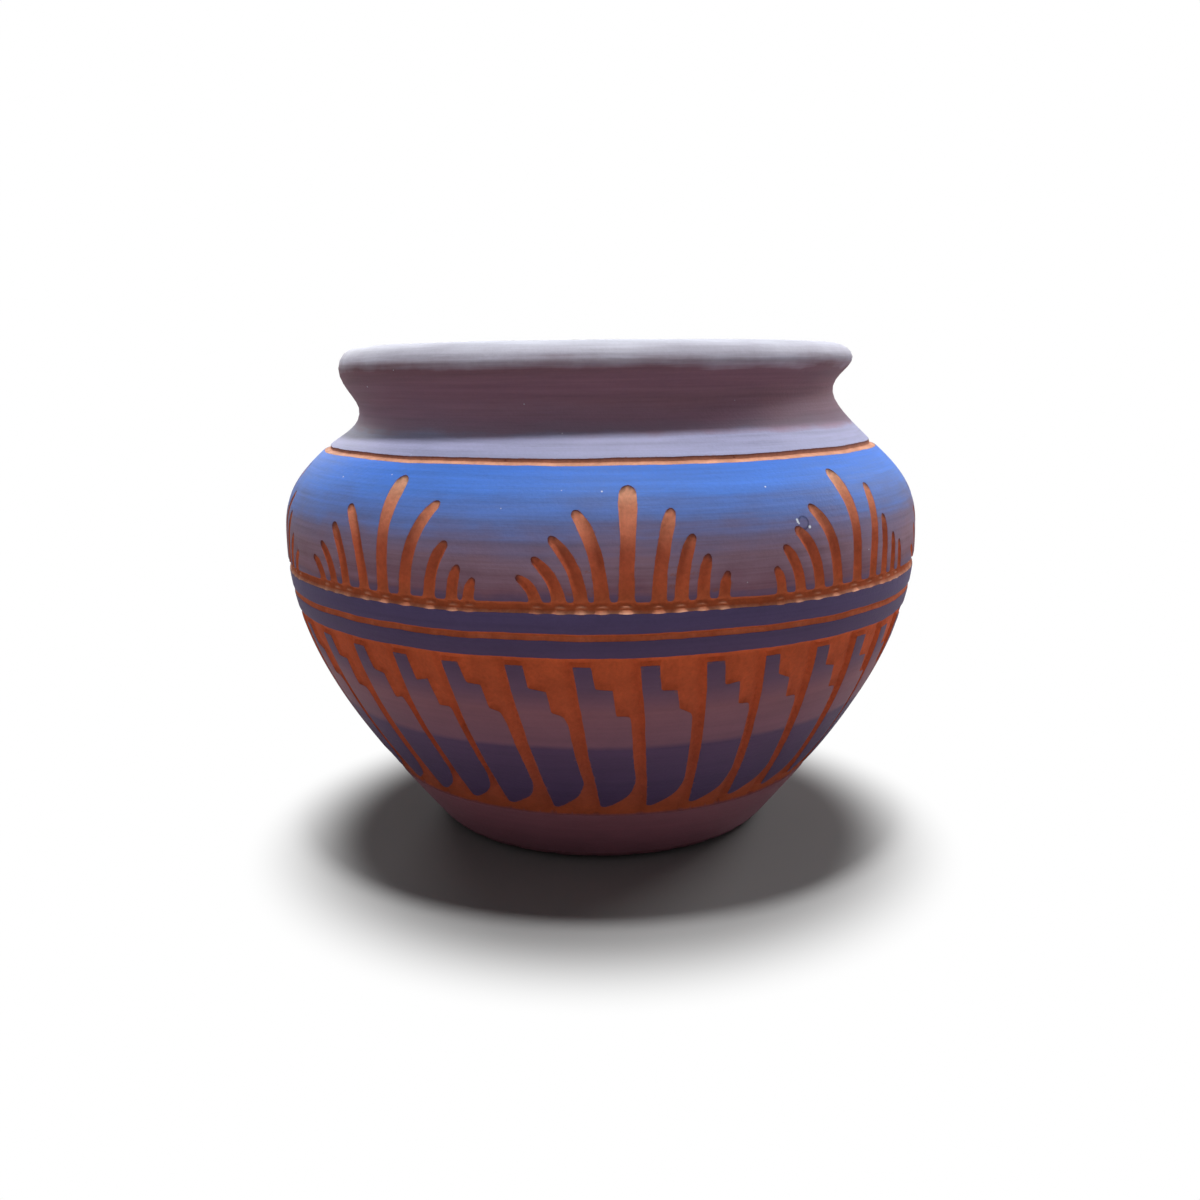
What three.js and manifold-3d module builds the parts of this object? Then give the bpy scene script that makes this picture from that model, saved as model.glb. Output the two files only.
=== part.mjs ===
// Miniature etched pottery bowl in millimetres, +Z up, standing on z = 0, its front facing -Y.
// One clay wall is covered with coloured slip, and carving through the slip leaves it in
// separate fields: a rim coat, a shoulder coat with plume fans, two stripes, feathers, a foot coat.
import * as THREE from 'three';
import { mergeVertices } from 'three/addons/utils/BufferGeometryUtils.js';
import Module from 'manifold-3d';

const wasm = await Module();
wasm.setup();

// Outside of the wall: foot, belly, neck and lip, each rise counted from the one below
const footRadius = 20.4;
const footRound = 1.0;
const bellyRadius = 38;
const bellyHeight = 35;
const neckRadius = 28.8;
const neckRise = 16.2;
const shoulderFullness = 1.6;
const lipFlare = 2.2;
const lipRise = 4.2;
const rimRise = 2.1;

// Inside of the wall and the underside
const lipWidth = 5.2;
const wallThickness = 4.2;
const floorThickness = 5;
const floorRound = 1.5;
const restWidth = 7;
const dishDepth = 0.8;

// Slip coats and the gap that they keep to the clay below them
const coatThickness = 0.35;
const seatGap = 0.3;
const footBareHeight = 1.6;
const throatCoatDepth = 2.4;

// Heights of the fields and of the carved rings between them, from the foot up
const footCoatHeight = 6.2;
const baseRing = 1.3;
const featherLength = 18;
const featherRing = 0.9;
const lowerStripeHeight = 1.75;
const stripeRing = 0.7;
const upperStripeHeight = 1.95;
const fanRing = 1.1;
const shoulderCoatHeight = 12.3;
const neckRing = 0.65;

// Feathers: one stepped blade in each pitch, given in shares of the pitch, leaning one way
const featherCount = 36;
const featherTurn = 0.6;
const featherGap = 0.26;
const featherLean = 0.35;
const firstStepWidth = 0.28;
const secondStepWidth = 0.53;
const cornerWidth = 0.09;
const heelWidth = 0.1;
const firstStepDrop = 2.3;
const secondStepDrop = 5.2;
const cornerDrop = 0.9;
const bladeRound = 2.6;

// Plume fans: a tall middle stroke with mirrored pairs of shorter, wider-spread strokes
const fanCount = 9;
const fanTurn = 3.8;
const fanHeadroom = 1.9;
const plumeWidth = 1.7;
const plumeNarrowing = 0.12;
const plumePairs = [
  { baseAngle: 4.2, tipAngle: 8.0, reach: 0.8 },
  { baseAngle: 8.0, tipAngle: 11.2, reach: 0.56 },
  { baseAngle: 11.5, tipAngle: 13.7, reach: 0.38 },
  { baseAngle: 14.4, tipAngle: 16.0, reach: 0.24 },
];

// Fineness of the turned surfaces: flats around, rows up the outside and the inside, steps of a curve
const turnSteps = 48;
const outerRow = 3.7;
const innerRow = 6;
const lipSteps = 6;
const tipSteps = 2;

// Heights that follow from the sizes above
const neckHeight = bellyHeight + neckRise;
const lipHeight = neckHeight + lipRise;
const rimHeight = lipHeight + rimRise;
const lipRadius = neckRadius + lipFlare;
const mouthRadius = lipRadius - lipWidth;
const footCoatLow = footBareHeight + seatGap;
const footCoatTop = footBareHeight + footCoatHeight;
const featherLow = footCoatTop + baseRing;
const featherTop = featherLow + featherLength;
const lowerStripeLow = featherTop + featherRing;
const lowerStripeTop = lowerStripeLow + lowerStripeHeight;
const upperStripeLow = lowerStripeTop + stripeRing;
const upperStripeTop = upperStripeLow + upperStripeHeight;
const shoulderLow = upperStripeTop + fanRing;
const shoulderTop = shoulderLow + shoulderCoatHeight;
const rimCoatLow = shoulderTop + neckRing;
const fieldEnds = [
  footCoatLow, footCoatTop, featherLow, featherTop, lowerStripeLow, lowerStripeTop,
  upperStripeLow, upperStripeTop, shoulderLow, shoulderTop, rimCoatLow,
];
const clayInset = coatThickness + seatGap;
const prismDepth = bellyRadius + lipRadius;

const toRadians = THREE.MathUtils.degToRad;

// A quarter sine from foot to belly, a skewed cosine in to the neck, a cosine out to the lip
function outerRadius(height) {
  if (height < bellyHeight) {
    const rise = Math.sin((Math.PI / 2) * (height / bellyHeight));
    return footRadius + (bellyRadius - footRadius) * rise;
  }
  if (height < neckHeight) {
    const share = Math.pow((height - bellyHeight) / neckRise, shoulderFullness);
    return bellyRadius - (bellyRadius - neckRadius) * 0.5 * (1 - Math.cos(Math.PI * share));
  }
  const share = Math.min((height - neckHeight) / lipRise, 1);
  return neckRadius + lipFlare * 0.5 * (1 - Math.cos(Math.PI * share));
}

// Point of the wall at a height, moved in from the outer face along its normal
function wallPoint(height, inset) {
  const step = 0.01;
  const slope = (outerRadius(height + step) - outerRadius(height - step)) / (2 * step);
  const length = Math.hypot(1, slope);
  return new THREE.Vector2(outerRadius(height) - inset / length, height + (inset * slope) / length);
}

// Heights above one height and up to another, in even steps no longer than a row
function evenRows(low, high, row) {
  const steps = Math.ceil((high - low) / row);
  return Array.from({ length: steps }, (_, step) => low + ((high - low) * (step + 1)) / steps);
}

// Rows that all layers of the wall share: the ends of the fields and the neck, with even rows between
function sharedRows(low, high) {
  const stops = [...fieldEnds, neckHeight].filter((stop) => stop > low && stop < high);
  stops.sort((a, b) => a - b);
  const heights = [low];
  [...stops, high].forEach((stop) => heights.push(...evenRows(heights.at(-1), stop, outerRow)));
  return heights;
}

// Points of the wall at some heights
function wallRun(heights, inset) {
  return heights.map((height) => wallPoint(height, inset));
}

// Points over the rounded lip from its outer side to the mouth
function lipRun(inset) {
  const points = [];
  for (let step = 1; step <= lipSteps; step += 1) {
    const angle = (Math.PI * step) / lipSteps;
    const across = (lipWidth / 2 - inset) * Math.cos(angle);
    const up = (rimRise - inset) * Math.sin(angle);
    points.push(new THREE.Vector2(lipRadius - lipWidth / 2 + across, lipHeight + up));
  }
  return points;
}

// A profile of radius and height turned about Z
function turned(profile) {
  return new THREE.LatheGeometry(profile, turnSteps).rotateX(Math.PI / 2);
}

// A ring of slip between an outer and an inner run of points
function coatRing(outerRun, innerRun) {
  return turned([...outerRun, ...innerRun.reverse(), outerRun[0]]);
}

// A band of slip on the wall between two heights
function wallCoat(low, high) {
  const rows = sharedRows(low, high);
  return coatRing(wallRun(rows, 0), wallRun(rows, coatThickness));
}

// The clay: dished underside, bare foot edge, seat for the slip, lip, throat, inside and floor
function clayBody() {
  const restInner = footRadius - footRound - restWidth;
  const profile = [
    new THREE.Vector2(0, dishDepth),
    new THREE.Vector2(restInner - dishDepth, dishDepth),
    new THREE.Vector2(restInner, 0),
    new THREE.Vector2(footRadius - footRound, 0),
    wallPoint(footRound, 0),
    wallPoint(footBareHeight, 0),
  ];
  const throatLow = lipHeight - throatCoatDepth;
  profile.push(...wallRun(sharedRows(footBareHeight, lipHeight), clayInset));
  profile.push(...lipRun(clayInset));
  profile.push(new THREE.Vector2(mouthRadius + clayInset, throatLow));
  profile.push(new THREE.Vector2(mouthRadius, throatLow));
  const insideRows = [floorThickness, ...evenRows(floorThickness, neckHeight, innerRow)];
  const inside = wallRun(insideRows, wallThickness);
  const clear = inside.filter((point) => point.y > floorThickness + floorRound);
  const floorRadius = clear[0].x - floorRound;
  profile.push(...clear.reverse());
  profile.push(new THREE.Vector2(floorRadius, floorThickness));
  profile.push(new THREE.Vector2(0, floorThickness));
  return turned(profile);
}

// The rim coat climbs the neck, rolls over the lip and ends in the throat
function rimCoat() {
  const throatEdge = lipHeight - throatCoatDepth + seatGap;
  const layer = (inset) => [
    ...wallRun(sharedRows(rimCoatLow, lipHeight), inset),
    ...lipRun(inset),
    new THREE.Vector2(mouthRadius + inset, throatEdge),
  ];
  return coatRing(layer(0), layer(coatThickness));
}

// A closed mesh as a solid that can be cut
function toSolid(geometry) {
  geometry.deleteAttribute('normal');
  geometry.deleteAttribute('uv');
  const merged = mergeVertices(geometry, 1e-4);
  const corners = merged.index.array;
  const triangles = [];
  for (let corner = 0; corner < corners.length; corner += 3) {
    const [a, b, c] = corners.slice(corner, corner + 3);
    if (a !== b && b !== c && c !== a) triangles.push(a, b, c);
  }
  return new wasm.Manifold(new wasm.Mesh({
    numProp: 3,
    vertProperties: merged.attributes.position.array,
    triVerts: Uint32Array.from(triangles),
  }));
}

// A solid back as a mesh geometry
function toGeometry(solid) {
  const mesh = solid.getMesh();
  const geometry = new THREE.BufferGeometry();
  geometry.setAttribute('position', new THREE.BufferAttribute(mesh.vertProperties, 3));
  geometry.setIndex(new THREE.BufferAttribute(mesh.triVerts, 1));
  geometry.computeVertexNormals();
  return geometry;
}

// Place on the front of the bowl, seen flat from -Y, of an angle about Z and a height
function onFront(angle, height) {
  return new THREE.Vector2(outerRadius(height) * Math.sin(toRadians(angle)), height);
}

// A flat outline pushed from the axis out through the front wall
function frontPrism(shape) {
  return new THREE.ExtrudeGeometry(shape, { depth: prismDepth, bevelEnabled: false, curveSegments: 3 })
    .rotateX(Math.PI / 2);
}

// One feather: square corner at the top left, two steps down on the right, rounded blade end
function featherCoat() {
  const pitch = 360 / featherCount;
  const leanAt = (height) => (featherLean * pitch * (featherTop - height)) / featherLength;
  const bladeWidth = pitch * (1 - featherGap);
  const at = (across, height) => onFront(leanAt(height) + across - pitch / 2, height);
  const firstStep = featherTop - firstStepDrop;
  const secondStep = featherTop - secondStepDrop;
  const right = at(bladeWidth, featherLow + bladeRound);
  const low = at(bladeWidth / 2, featherLow);
  const roundCorner = at(bladeWidth, featherLow);
  const shape = new THREE.Shape([
    at(0, featherTop),
    at(0, featherLow + bladeRound / 2),
    at(heelWidth * pitch, featherLow),
    low,
  ]);
  shape.quadraticCurveTo(roundCorner.x, roundCorner.y, right.x, right.y);
  const steps = [
    at(bladeWidth, secondStep - cornerDrop),
    at(bladeWidth - cornerWidth * pitch, secondStep),
    at(secondStepWidth * pitch, secondStep),
    at(secondStepWidth * pitch, firstStep),
    at(firstStepWidth * pitch, firstStep),
    at(firstStepWidth * pitch, featherTop),
  ];
  steps.forEach((point) => shape.lineTo(point.x, point.y));
  const band = toSolid(wallCoat(featherLow, featherTop));
  return toGeometry(band.intersect(toSolid(frontPrism(shape))));
}

// One carved stroke of a fan, open below the shoulder coat and rounded at its tip
function plume(baseAngle, tipAngle, reach, width) {
  const tallest = shoulderCoatHeight - fanHeadroom;
  const base = onFront(baseAngle, shoulderLow);
  const tip = onFront(tipAngle, shoulderLow + tallest * reach);
  const along = tip.clone().sub(base).normalize();
  const side = new THREE.Vector2(-along.y, along.x).multiplyScalar(width / 2);
  const centre = tip.clone().addScaledVector(along, -width / 2);
  const start = base.clone().addScaledVector(along, -fanRing / 2);
  const points = [start.clone().add(side), start.clone().sub(side)];
  for (let step = 0; step <= tipSteps; step += 1) {
    const turn = (Math.PI * step) / tipSteps;
    const point = centre.clone().addScaledVector(side, -Math.cos(turn));
    points.push(point.addScaledVector(along, (width / 2) * Math.sin(turn)));
  }
  return toSolid(frontPrism(new THREE.Shape(points)));
}

// The strokes of one fan, as it is cut at the front
function fanStrokes() {
  const strokes = [plume(0, 0, 1, plumeWidth)];
  plumePairs.forEach((pair, place) => {
    const width = plumeWidth - plumeNarrowing * (place + 1);
    strokes.push(plume(pair.baseAngle, pair.tipAngle, pair.reach, width));
    strokes.push(plume(-pair.baseAngle, -pair.tipAngle, pair.reach, width));
  });
  return strokes;
}

// The shoulder coat with the fans carved up from its lower edge
function shoulderCoat() {
  let coat = toSolid(wallCoat(shoulderLow, shoulderTop));
  const strokes = fanStrokes();
  for (let fan = 0; fan < fanCount; fan += 1) {
    for (const stroke of strokes) {
      coat = coat.subtract(stroke.rotate([0, 0, fanTurn + (360 * fan) / fanCount]));
    }
  }
  return toGeometry(coat);
}

const slip = (color) => new THREE.MeshStandardMaterial({ color, roughness: 0.7, metalness: 0 });
const bowl = new THREE.Group();

function add(name, geometry, material, turn = 0) {
  const mesh = new THREE.Mesh(geometry, material);
  mesh.name = name;
  mesh.rotation.z = toRadians(turn);
  bowl.add(mesh);
}

add('clay_body', clayBody(), new THREE.MeshStandardMaterial({ color: 0xb4683f, roughness: 0.85, metalness: 0 }));
add('rim_coat', rimCoat(), slip(0x8d8593));
add('shoulder_coat', shoulderCoat(), slip(0x6c6b88));
add('upper_stripe_coat', wallCoat(upperStripeLow, upperStripeTop), slip(0x3e3450));
add('lower_stripe_coat', wallCoat(lowerStripeLow, lowerStripeTop), slip(0x3e3450));
add('foot_coat', wallCoat(footCoatLow, footCoatTop), slip(0x6a4d4b));

const feather = featherCoat();
for (let place = 0; place < featherCount; place += 1) {
  const name = `feather_coat_${String(place + 1).padStart(2, '0')}`;
  add(name, feather, slip(0x5a4a63), featherTurn + (360 * place) / featherCount);
}

export default bowl;
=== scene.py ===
import math
import random
import bpy
import numpy as np
from mathutils import Matrix, Vector
from mathutils.geometry import delaunay_2d_cdt


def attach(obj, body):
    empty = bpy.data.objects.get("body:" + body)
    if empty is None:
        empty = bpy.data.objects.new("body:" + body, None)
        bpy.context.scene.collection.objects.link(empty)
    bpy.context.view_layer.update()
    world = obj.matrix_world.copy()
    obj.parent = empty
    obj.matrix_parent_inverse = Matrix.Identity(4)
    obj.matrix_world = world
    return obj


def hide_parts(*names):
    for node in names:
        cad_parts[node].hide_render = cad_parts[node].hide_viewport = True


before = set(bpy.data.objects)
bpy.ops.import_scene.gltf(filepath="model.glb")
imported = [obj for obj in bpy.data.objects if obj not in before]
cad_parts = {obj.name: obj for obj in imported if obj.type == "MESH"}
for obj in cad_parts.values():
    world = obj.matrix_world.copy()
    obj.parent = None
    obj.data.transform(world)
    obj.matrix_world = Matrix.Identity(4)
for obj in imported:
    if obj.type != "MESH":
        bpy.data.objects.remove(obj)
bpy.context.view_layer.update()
mm = 0.001
scene = bpy.context.scene
print("bowl: packed model loaded")

# the turned wall in mm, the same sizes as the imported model
wall = {
    "footRadius": 20.4, "footRound": 1.0, "bellyRadius": 38.0, "bellyHeight": 35.0,
    "neckRadius": 28.8, "neckRise": 16.2, "shoulderFullness": 1.6,
    "lipFlare": 2.2, "lipRise": 4.2, "rimRise": 2.1, "lipWidth": 5.2,
    "wallThickness": 4.2, "floorThickness": 5.0, "restWidth": 7.0, "dishDepth": 0.8,
    "throat": [(24.8, 52.4), (24.6, 50.8)], "innerTop": 50, "innerLow": 8.1, "profileStep": 0.25,
}
neckHeight = wall["bellyHeight"] + wall["neckRise"]
lipHeight = neckHeight + wall["lipRise"]
flatRadius = wall["bellyRadius"]  # the flat sheets are laid out at the widest radius


def outerRadius(height):
    foot, belly, neck = wall["footRadius"], wall["bellyRadius"], wall["neckRadius"]
    if height < wall["bellyHeight"]:
        return foot + (belly - foot) * math.sin(math.pi / 2 * height / wall["bellyHeight"])
    if height < neckHeight:
        share = ((height - wall["bellyHeight"]) / wall["neckRise"]) ** wall["shoulderFullness"]
        return belly - (belly - neck) * 0.5 * (1 - math.cos(math.pi * share))
    share = min((height - neckHeight) / wall["lipRise"], 1)
    return neck + wall["lipFlare"] * 0.5 * (1 - math.cos(math.pi * share))


def wallPoint(height, inset):
    slope = (outerRadius(height + 0.01) - outerRadius(height - 0.01)) / 0.02
    length = math.hypot(1, slope)
    return (outerRadius(height) - inset / length, height + inset * slope / length)


def bend(a, corner, b, steps):
    points = []
    for step in range(steps + 1):
        t = step / steps
        points.append(tuple((1 - t) ** 2 * p + 2 * t * (1 - t) * c + t * t * q
                            for p, c, q in zip(a, corner, b)))
    return points


def wallRun():  # (radius, height) from the middle of the underside, over the lip, to the middle of the floor
    restOuter = wall["footRadius"] - wall["footRound"]
    restInner = restOuter - wall["restWidth"]
    dish, floor = wall["dishDepth"], wall["floorThickness"]
    run = [(0, dish), (restInner - 2.2, dish)]
    run += bend((restInner - 2.0, dish), (restInner - 0.9, dish), (restInner - 0.5, dish / 2), 5)
    run += bend((restInner - 0.4, dish / 3), (restInner - 0.1, 0), (restInner + 0.5, 0), 4)
    run += bend((restOuter, 0), (wall["footRadius"], 0), wallPoint(wall["footRound"], 0), 8)
    step = wall["profileStep"]
    run += [wallPoint(h, 0) for h in np.arange(wall["footRound"] + step, lipHeight, step)]
    lipHalf = wall["lipWidth"] / 2
    centre = wall["neckRadius"] + wall["lipFlare"] - lipHalf
    for angle in np.linspace(0, math.pi, 33):
        run.append((centre + lipHalf * math.cos(angle), lipHeight + wall["rimRise"] * math.sin(angle)))
    mouth = run[-1]
    inner = [mouth, (mouth[0] - 0.4, mouth[1] - 1.6), *wall["throat"]]
    inner += [wallPoint(h, wall["wallThickness"]) for h in np.arange(wall["innerTop"], wall["innerLow"], -1.0)]
    low = inner[-1]
    inner += bend((low[0] - 0.8, low[1] - 1.2), (low[0] - 2.4, floor), (low[0] - 4.6, floor), 8)
    for turn in range(2):  # round off the corners of the inner run
        eased = [inner[0]]
        for a, b in zip(inner, inner[1:]):
            eased.append((a[0] * 0.75 + b[0] * 0.25, a[1] * 0.75 + b[1] * 0.25))
            eased.append((a[0] * 0.25 + b[0] * 0.75, a[1] * 0.25 + b[1] * 0.75))
        inner = eased + [inner[-1]]
    return run + inner[1:] + [(0, floor)]


def evenRun(run, step):
    run = np.array(run, float)
    along = np.r_[0, np.cumsum(np.hypot(*np.diff(run, axis=0).T))]
    places = np.linspace(0, along[-1], int(along[-1] / step) + 1)
    even = np.c_[np.interp(places, along, run[:, 0]), np.interp(places, along, run[:, 1])]
    return even, np.r_[0, np.cumsum(np.hypot(*np.diff(even, axis=0).T))]


profile, profileAlong = evenRun(wallRun(), wall["profileStep"])
lipPlace = int(np.argmax(profile[:, 1]))
footPlace = int(np.argmax((profile[:, 0] > wall["footRadius"] - 0.5)))


def alongAt(height):  # distance along the outer skin at a height
    return float(np.interp(height, profile[footPlace:lipPlace, 1], profileAlong[footPlace:lipPlace]))


def squeeze(along):  # how much narrower the wall is here than the flat sheet
    return np.maximum(np.interp(along, profileAlong, profile[:, 0]) / flatRadius, 0.02)


def flatX(angle):
    return math.radians(angle) * flatRadius


# the fields of slip, from and to a height in mm; the rim's runs over the lip and into the mouth
fields = {
    "foot": (1.15, 7.8), "feather": (9.1, 27.1), "lowerStripe": (28.0, 29.75),
    "upperStripe": (30.45, 32.42), "shoulder": (33.5, 45.8), "rim": (46.45, 53.3),
}
footLow, footTop = [alongAt(h) for h in fields["foot"]]
featherLow, featherTop = [alongAt(h) for h in fields["feather"]]
lowerLow, lowerTop = [alongAt(h) for h in fields["lowerStripe"]]
upperLow, upperTop = [alongAt(h) for h in fields["upperStripe"]]
fanLow, fanTop = [alongAt(h) for h in fields["shoulder"]]
rimLow = alongAt(fields["rim"][0])
mouthPart = slice(lipPlace, lipPlace + 60)
throatEdge = float(np.interp(-fields["rim"][1], -profile[mouthPart, 1], profileAlong[mouthPart]))
wallEnd = float(profileAlong[-1])
print("bowl: wall profile", round(wallEnd, 1), "mm long")

# how deep the tools went in mm, and how strong the painted highlights and painted shade on the cut clay are
cuts = {
    "clayUnderSlip": 0.2, "clayAtEdge": 0.06, "fanRing": 0.3, "ringStep": 0.1, "stepRise": 0.13,
    "plume": 0.38, "plumeHalf": 0.7, "footReach": 0.15, "crest": 0.15, "crestDrop": 0.5, "crestWidth": 0.13,
    # some amounts here set painted highlights and painted shade on the rings, along the line under the plumes and
    # in the plume tips
    "stripeRing": 0.2, "stripeRingPaintedLight": 0.1, "neckRing": 0.26, "neckRingPaintedLight": 0.36, "lowLineHighlight": 0.6,
    "tipShade": 0.95, "tipFrom": 0.86, "tipFade": 0.1, "crestArch": 0.12, "ringForm": (0.8, 1.6, 3),
    "plumePowers": (2.4, 2.6, 3.6), "plumeDepths": (0.62, 1, 1, 0.66),
    "featherField": 0.24, "fieldSlope": 0.42, "divider": 0.2, "dividerWidth": 1.0, "dividerPower": 2.2,
}
slip = {"thickness": 0.1, "easing": 0.035}
mesh = {"fine": 0.36, "edge": 0.24, "plain": 1.7, "feather": 0.6, "clearance": 0.17, "smallest": 2e-4,
        "hair": 1e-4}

# carved fans as (base angle, tip angle, tip height) from the middle of the fan, in degrees and mm
fans = {
    "count": 9, "turn": 3.8,
    "front": (-0.3, [(-12.8, -14.7, 36.3), (-9.5, -12.4, 38.0), (-6.4, -10.0, 39.9), (-3.4, -6.8, 42.1),
                     (0, 0.5, 44.1), (4.5, 6.5, 42.1), (7.7, 9.2, 39.8), (10.9, 11.5, 37.8), (14.1, 14.4, 36.1)]),
    "left": (1.8, [(-15.0, -17.2, 36.2), (-11.7, -14.5, 37.8), (-8.4, -11.3, 39.9), (-3.9, -8.2, 41.8),
                   (0, 0.3, 44.7), (4.1, 8.6, 42.6), (8.5, 10.9, 39.1), (12.4, 13.2, 36.9), (15.0, 15.5, 35.8)]),
    "right": (-0.8, [(-15.8, -16.5, 36.3), (-12.3, -14.8, 38.4), (-8.5, -12.4, 40.0), (-4.6, -9.0, 41.8),
                     (0, -0.9, 44.6), (4.4, 6.3, 43.0), (8.1, 8.2, 39.8), (11.5, 11.3, 37.7), (14.8, 14.3, 36.8)]),
    "usual": [(-14.4, -16.2, 35.8), (-11.4, -14.2, 37.5), (-7.9, -11.4, 39.5), (-4.1, -8.2, 41.7),
              (0, 0, 44.2), (4.2, 7.8, 42.0), (8.1, 10.4, 39.4), (11.6, 13.0, 37.4), (14.6, 15.8, 35.8)],
    "middleWidths": (1.5, 1.42, 1.85, 1.7), "middleTip": 1.15,
    "sideWidths": (1.45, 1.32, 1.28, 1.08), "sideTip": 0.8, "narrowing": 0.07,
    "fillet": 0.28, "bendShare": 0.12, "bendHeight": 0.62, "scallop": 0.06, "handShake": 0.5,
}
pitch = 360 / fans["count"]
tileWidth = flatX(pitch)

# one stepped feather as (angle from its left edge, height), with the radius of each corner
feather = {
    "count": 36, "turn": -4.4, "lean": 0.194,
    "outline": [(0, 27.1, 0.12), (2.8, 27.1, 0.12), (2.95, 24.6, 0.25), (5.35, 24.5, 0.12), (5.6, 21.9, 0.25),
                (7.6, 21.8, 0.3), (8.0, 20.9, 0.4), (8.1, 12.7, 0.8), (6.6, 10.7, 1.8), (1.7, 9.15, 1.0),
                (0.15, 9.2, 0.3)],
    "shifts": {-2: -0.9, -1: -0.4, 1: 0.15, 2: 0.2, 3: 0.2, 4: 0.4, 5: 0.7}, "handShake": 0.22,
}


def borderX(along):  # the left edge of a tile, which keeps clear of plumes and feathers
    angle = np.interp(along, [featherLow, featherTop, fanLow - 1.5], [-12.2, -15.75, -16.2])
    return np.radians(angle) * flatRadius


def fanTable(place):
    if place in (0, 1, 8):  # the three fans that the photo shows
        return {0: fans["front"], 1: fans["right"], 8: fans["left"]}[place]
    hand = random.Random(40 + place)
    shake = fans["handShake"]
    table = [(base + hand.uniform(-0.5, 0.5) * shake, tip + hand.uniform(-1, 1) * shake,
              height + hand.uniform(-0.8, 0.8) * shake) for base, tip, height in fans["usual"]]
    return (hand.uniform(-0.6, 0.6), table)


# centre line, half widths and both sides of one carved plume, on the flat sheet in mm
def plumeShape(base, tip, height, widths, tipLength):
    top = alongAt(height) - tipLength
    start, end = (flatX(base), fanLow - cuts["crestDrop"]), (flatX(tip), top)
    corner = (start[0] + fans["bendShare"] * (end[0] - start[0]), fanLow + fans["bendHeight"] * (top - fanLow))
    line = np.array(bend(start, corner, end, 26))
    half = np.interp(np.linspace(0, 1, len(line)), [0, 0.5, 0.86, 1], widths) / 2
    scale = squeeze(line[:, 1])
    step = np.gradient(line, axis=0)
    length = np.hypot(step[:, 0] * scale, step[:, 1])
    forward = np.c_[step[:, 0] * scale, step[:, 1]] / length[:, None]
    side = np.c_[-forward[:, 1] / scale, forward[:, 0]]
    reach = side * half[:, None]
    cap = []
    for angle in np.linspace(0, math.pi, 9)[1:-1]:
        across = side[-1] * half[-1] * math.cos(angle)
        ahead = np.array([forward[-1][0] / scale[-1], forward[-1][1]]) * tipLength * math.sin(angle)
        cap.append(line[-1] + across + ahead)
    return {"line": line, "half": half, "left": line + reach, "right": line - reach, "cap": cap,
            "tip": tipLength}


def runBetween(a, b, step):  # evenly spaced points from a towards b, without b
    a, b = np.array(a, float), np.array(b, float)
    scale = squeeze((a[1] + b[1]) / 2)
    length = math.hypot((b[0] - a[0]) * scale, b[1] - a[1])
    count = max(1, round(length / step))
    return [tuple(a + (b - a) * i / count) for i in range(count)]


def thinned(points, step):
    kept = [points[0]]
    for point in points[1:-1]:
        if math.hypot((point[0] - kept[-1][0]) * squeeze(point[1]), point[1] - kept[-1][1]) >= step:
            kept.append(point)
    return kept + [points[-1]]


# lower edge of the shoulder slip across one tile, up and down around each plume
def fanEdge(plumes, left, right):
    step = mesh["edge"]
    reach = fans["fillet"] / squeeze(fanLow)
    path = [(left, fanLow)]
    for shape in plumes:
        feet = [float(np.interp(fanLow, shape[name][:, 1], shape[name][:, 0])) for name in ("left", "right")]
        upLeft = [tuple(p) for p in shape["left"] if p[1] > fanLow + fans["fillet"]]
        upRight = [tuple(p) for p in shape["right"] if p[1] > fanLow + fans["fillet"]]
        path += runBetween(path[-1], (feet[0] - reach, fanLow), step)[1:]
        path += bend((feet[0] - reach, fanLow), (feet[0], fanLow), upLeft[0], 3)
        loop = thinned(upLeft + [tuple(p) for p in shape["cap"]] + upRight[::-1], step * 0.75)
        path += loop[1:]
        path += bend(loop[-1], (feet[1], fanLow), (feet[1] + reach, fanLow), 3)[1:]
    path += runBetween(path[-1], (right, fanLow), step)[1:]
    return path + [(right, fanLow)]


# upper edge of the upper stripe, nicked where each plume was started
def stripeTopEdge(plumes, left, right):
    scale = squeeze(upperTop)
    nicked = []
    for x, y in runBetween((left, upperTop), (right, upperTop), mesh["edge"]) + [(right, upperTop)]:
        nick = 0
        for shape in plumes:
            off = (x - shape["line"][0][0]) * scale / (shape["half"][0] * 0.95)
            nick = max(nick, 1 - off * off)
        nicked.append((x, y - fans["scallop"] * max(nick, 0)))
    return nicked


def roundedLoop(corners, step):
    count = len(corners)
    path = []
    for i, (x, y, radius) in enumerate(corners):
        scale = squeeze(y)
        sides = []
        for other in (corners[i - 1], corners[(i + 1) % count]):
            dx, dy = other[0] - x, other[1] - y
            share = min(radius / math.hypot(dx * scale, dy), 0.45)
            sides.append((x + dx * share, y + dy * share))
        path.append(bend(sides[0], (x, y), sides[1], 3 if radius < 0.6 else 7))
    loop = []
    for i in range(count):
        loop += path[i][:-1]
        loop += runBetween(path[i][-1], path[(i + 1) % count][0], step)
    return loop


def featherLoop(place):  # the outline of one feather around its own left edge
    hand = random.Random(700 + place)
    shake = feather["handShake"]
    top = feather["outline"][0][1]
    corners = []
    for i, (angle, height, radius) in enumerate(feather["outline"]):
        angle += feather["lean"] * (top - height)
        if 0 < i < 10:  # the steps wander most, the two ends of the left edge stay put
            angle += hand.uniform(-1, 1) * shake
        if 1 < i < 8:
            height += hand.uniform(-1, 1) * shake * 1.3
        corners.append((flatX(angle), alongAt(height), radius))
    return roundedLoop(corners[::-1], mesh["edge"] * 1.15)


def featherAngle(place):  # left edge of a feather at its top, place 0 is the one at the front
    signed = place if place < feather["count"] / 2 else place - feather["count"]
    hand = random.Random(90 + place)
    shift = feather["shifts"].get(signed, 0 if signed == 0 else hand.uniform(-0.4, 0.4))
    return feather["turn"] + 360 / feather["count"] * signed + shift


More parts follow.
